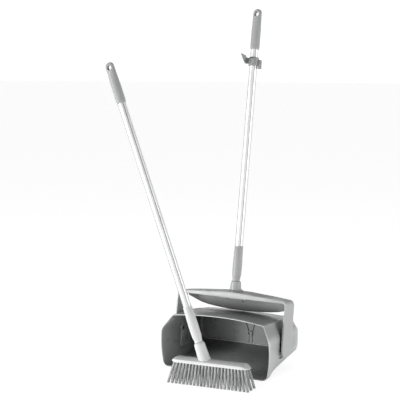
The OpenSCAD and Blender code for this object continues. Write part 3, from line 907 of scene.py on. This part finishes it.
def clipParts():
    s = clipShape
    y = -s["catchGap"]
    r = s["catchIn"] + s["catchWall"]
    bore, tall = s["tube"], s["ringHigh"]
    ring = lathe([(bore, 0.6), (bore + 0.6, 0), (14.6, 0), (15.1, 0.6), (15.1, tall - 0.6), (14.6, tall),
                  (bore + 0.6, tall), (bore, tall - 0.6)], 56, closed=True)
    catch = bandPart(y, s["catchIn"], r, *s["catchEnds"], lambda u: s["low"] + 2 - 2 * abs(2 * u - 1),
                     lambda u: s["high"] + 4.5 * ease((u - 0.6) / 0.4) - 4 * ease((0.4 - u) / 0.4))
    web = bevelMesh(prism([(-6, -18), (6, -18), (6, -9.5), (-6, -9.5)], 4, 22, "z"), 0.6, 1)
    web = ([(x, min(yy, -12.2), z) for x, yy, z in web[0]], web[1])
    # tall pointed leaf on one side, short turned-down leaf on the other
    b, a = (radians(end) for end in s["catchEnds"])
    horn = bladePart((r * cos(a) * 0.93, y + r * sin(a) * 0.93), (r * cos(a) - 9, y + r * sin(a) - 12),
                     [(0, 3), (0.35, 8), (1, s["hornHigh"] - 3), (0.96, s["hornHigh"]), (0.4, 28), (0, 26.5)],
                     s["leafThick"])
    leaf = bladePart((r * cos(b) * 0.93, y + r * sin(b) * 0.93), (r * cos(b) + 6, y + r * sin(b) - 9),
                     [(0, 3), (1, -1), (1, 10), (0, 18)], s["leafThick"])
    parts = [ring, catch, web, horn, leaf]
    # two cheeks for the clamping screw
    x0, x1 = s["lugX"] - 1, s["lugX"] + 9
    for y0, y1 in ((-2, 4), (5.6, 12)):
        parts.append(bevelMesh(prism([(x0, y0), (x1, y0), (x1, y1), (x0, y1)], -7, 19, "z"), 0.8, 2))
    return joinParts(*parts)


addPiece("handleClip", *clipParts(), clipPlace, "handle", "clip_grey", ["clip_body"], 35)
print("ferrules, grips and clip made")

# the brush block: half widths and heights along its length, and the leaning socket on it
blockShape = {
    "half": [(-119, 6.5), (-117, 10), (-110, 17), (-104, 21), (-98, 22), (98, 22), (104, 21), (110, 17),
             (117, 10), (119, 6.5)],
    "top": [(-119, 63.2), (-117, 66.4), (-110, 71.5), (-104, 74.4), (-98, 75), (98, 75), (103, 74.2),
            (109, 69.4), (115, 65), (119, 62.8)],
    "low": 61, "archRadius": 46, "archCentre": 29, "archHalf": 22,
    "socket": [(17, -4), (18.6, -0.4), (17.9, 1.6), (17.4, 4.4), (16.9, 10), (15.3, 42), (15.1, 45.6),
               (14.6, 47.6), (13.4, 50.6), (12.6, 51.8), (12.0, 52), (11.7, 52), (11.7, 47)],
}


def blockParts():
    s = blockShape
    rings = []
    for x in (-119, -118, -115, -110, -104, -98, -80, -60, -40, -20, 0, 20, 40, 60, 80,
              98, 103, 109, 114, 118, 119):
        half, top = between(x, s["half"]), between(x, s["top"])
        ring = []
        for k in range(15):
            u = -1 + 2 * k / 14
            arch = s["archCentre"] + sqrt(s["archRadius"] ** 2 - (s["archHalf"] * u) ** 2)
            ring.append((x, half * u, s["low"] + (top - s["low"]) * (arch - s["low"]) / 14))
        ring.append((x, half, s["low"]))
        for k in range(1, 6):
            ring.append((x, half * (1 - 2 * k / 6), s["low"]))
        ring.append((x, -half, s["low"]))
        rings.append(ring)
    count = len(rings[0])
    verts = [v for ring in rings for v in ring]
    faces = loopFaces(len(rings), count)
    faces += [tuple(reversed(range(count))), tuple(range(len(verts) - count, len(verts)))]
    body = moved(bevelMesh((verts, faces), 1.0, 2, 38), broomPlace)
    return joinParts(body, moved(lathe(s["socket"], 64), socketPlace))


addPiece("brushBlock", *blockParts(), Matrix.Identity(4), "broom", "block_light", ["broom_block"], 32)

# three rows of tufts that fan out at the ends; each strand is a bent four-sided rod, cut level near the floor
bristleSet = {"tufts": 23, "perTuft": 34, "half": 108, "rowGap": 13.2, "long": 61, "rootRadius": 2.3,
              "tipRadius": 3.9, "thick": 0.55, "fan": 10.5, "rake": 9, "seed": 17}


def bristleRow(j):
    s = bristleSet
    dice = random.Random(s["seed"] + j)
    verts, faces = [], []
    for i in range(s["tufts"]):
        u = 2 * i / (s["tufts"] - 1) - 1
        fanned = Matrix.Rotation(radians(-u * abs(u) * s["fan"] - u * 3), 4, "Y")
        raked = Matrix.Rotation(radians(j * s["rake"]), 4, "X")
        place = Matrix.Translation((u * s["half"], j * s["rowGap"], s["long"])) @ fanned @ raked
        lean = (dice.uniform(-0.4, 0.4), dice.uniform(-0.5, 0.5))
        for f in range(s["perTuft"]):
            angle = 2.39996 * f
            share = sqrt((f + 0.5) / s["perTuft"])
            rootX, rootY = s["rootRadius"] * share * cos(angle), s["rootRadius"] * share * sin(angle)
            spread = s["tipRadius"] * share * dice.uniform(0.8, 1.08)
            tipX = spread * cos(angle) + lean[0] + dice.uniform(-0.3, 0.3)
            tipY = spread * sin(angle) + lean[1] + dice.uniform(-0.3, 0.3)
            bow = (dice.uniform(-0.8, 0.8), dice.uniform(-0.8, 0.8))
            down = (place @ Vector((tipX, tipY, -s["long"]))) - (place @ Vector((rootX, rootY, 0)))
            floorAt = (s["long"] - dice.uniform(0.8, 1.6)) / abs(down.z)
            start = len(verts)
            for k in range(5):
                t = (k / 4) * floorAt
                x = rootX + (tipX - rootX) * t + bow[0] * 4 * (k / 4) * (1 - k / 4)
                y = rootY + (tipY - rootY) * t + bow[1] * 4 * (k / 4) * (1 - k / 4)
                z = (1.5 if k == 0 else 0) - s["long"] * t
                wide = s["thick"] * (1 - 0.3 * k / 4)
                for c in range(4):
                    a = pi / 2 * c + angle
                    verts.append(place @ Vector((x + wide * cos(a), y + wide * sin(a), z)))
            faces += loopFaces(5, 4, offset=start)
            faces.append((start + 3, start + 2, start + 1, start))
            faces.append((start + 16, start + 17, start + 18, start + 19))
    return verts, faces


fibreRows = ((-1, "frontFibres", "bristles_front"), (0, "middleFibres", "bristles_middle"),
             (1, "rearFibres", "bristles_rear"))
for rowAt, rowName, nodeName in fibreRows:
    addPiece(rowName, *bristleRow(rowAt), broomPlace, "broom", "bristle", [nodeName], 60)
print("brush made")

# a wide pale floor, and soft light from low in front, the right and all round
stageSet = {"reach": 60.0, "tone": 0.86, "glow": 0.75, "studioLight": 1.1}
floorMesh = bpy.data.meshes.new("paleFloor")
reach = stageSet["reach"]
corners = [(-reach, -reach, 0), (reach, -reach, 0), (reach, reach, 0), (-reach, reach, 0)]
floorMesh.from_pydata(corners, [], [(0, 1, 2, 3)])
paleFloor = bpy.data.objects.new("paleFloor", floorMesh)
bpy.context.scene.collection.objects.link(paleFloor)
floorMaterial, _, floorShader = newMaterial("palePaper")
floorTone = stageSet["tone"]
floorShader.inputs["Base Color"].default_value = (floorTone, floorTone, floorTone, 1)
floorShader.inputs["Roughness"].default_value = 0.9
floorShader.inputs["Specular IOR Level"].default_value = 0.1
floorShader.inputs["Emission Color"].default_value = (1, 1, 1, 1)
floorShader.inputs["Emission Strength"].default_value = stageSet["glow"]
floorMesh.materials.append(floorMaterial)

# a studio that is bright round the horizon and dimmer overhead
studio = bpy.data.worlds.new("studio")
bpy.context.scene.world = studio
studio.use_nodes = True
skyTree = studio.node_tree
skyPlace = skyTree.nodes.new("ShaderNodeTexCoord")
skySplit = skyTree.nodes.new("ShaderNodeSeparateXYZ")
skyTree.links.new(skyPlace.outputs["Generated"], skySplit.inputs["Vector"])
skyRamp = rampNode(skyTree, skySplit.outputs["Z"], [(0.0, 1.0), (0.16, 1.0), (0.38, 0.20), (1.0, 0.10)])
background = skyTree.nodes["Background"]
skyTree.links.new(skyRamp.outputs["Color"], background.inputs["Color"])
background.inputs["Strength"].default_value = stageSet["studioLight"]

lamps = {
    "lowKey": {"place": (-3.0, -3.4, 0.62), "aim": (0.05, 0.1, 0.1), "size": 1.2, "power": 140},
    "rightSide": {"place": (4.2, 0.7, 1.1), "aim": (0, 0, 0.4), "size": 2.4, "power": 55},
}
for lampName, lamp in lamps.items():
    light = bpy.data.lights.new(lampName, "AREA")
    light.size = lamp["size"]
    light.energy = lamp["power"]
    lightObject = bpy.data.objects.new(lampName, light)
    lightObject.location = lamp["place"]
    towards = Vector(lamp["aim"]) - Vector(lamp["place"])
    lightObject.rotation_euler = towards.to_track_quat("-Z", "Y").to_euler()
    bpy.context.scene.collection.objects.link(lightObject)
bpy.context.scene.view_settings.view_transform = "Standard"
print("stage lit")
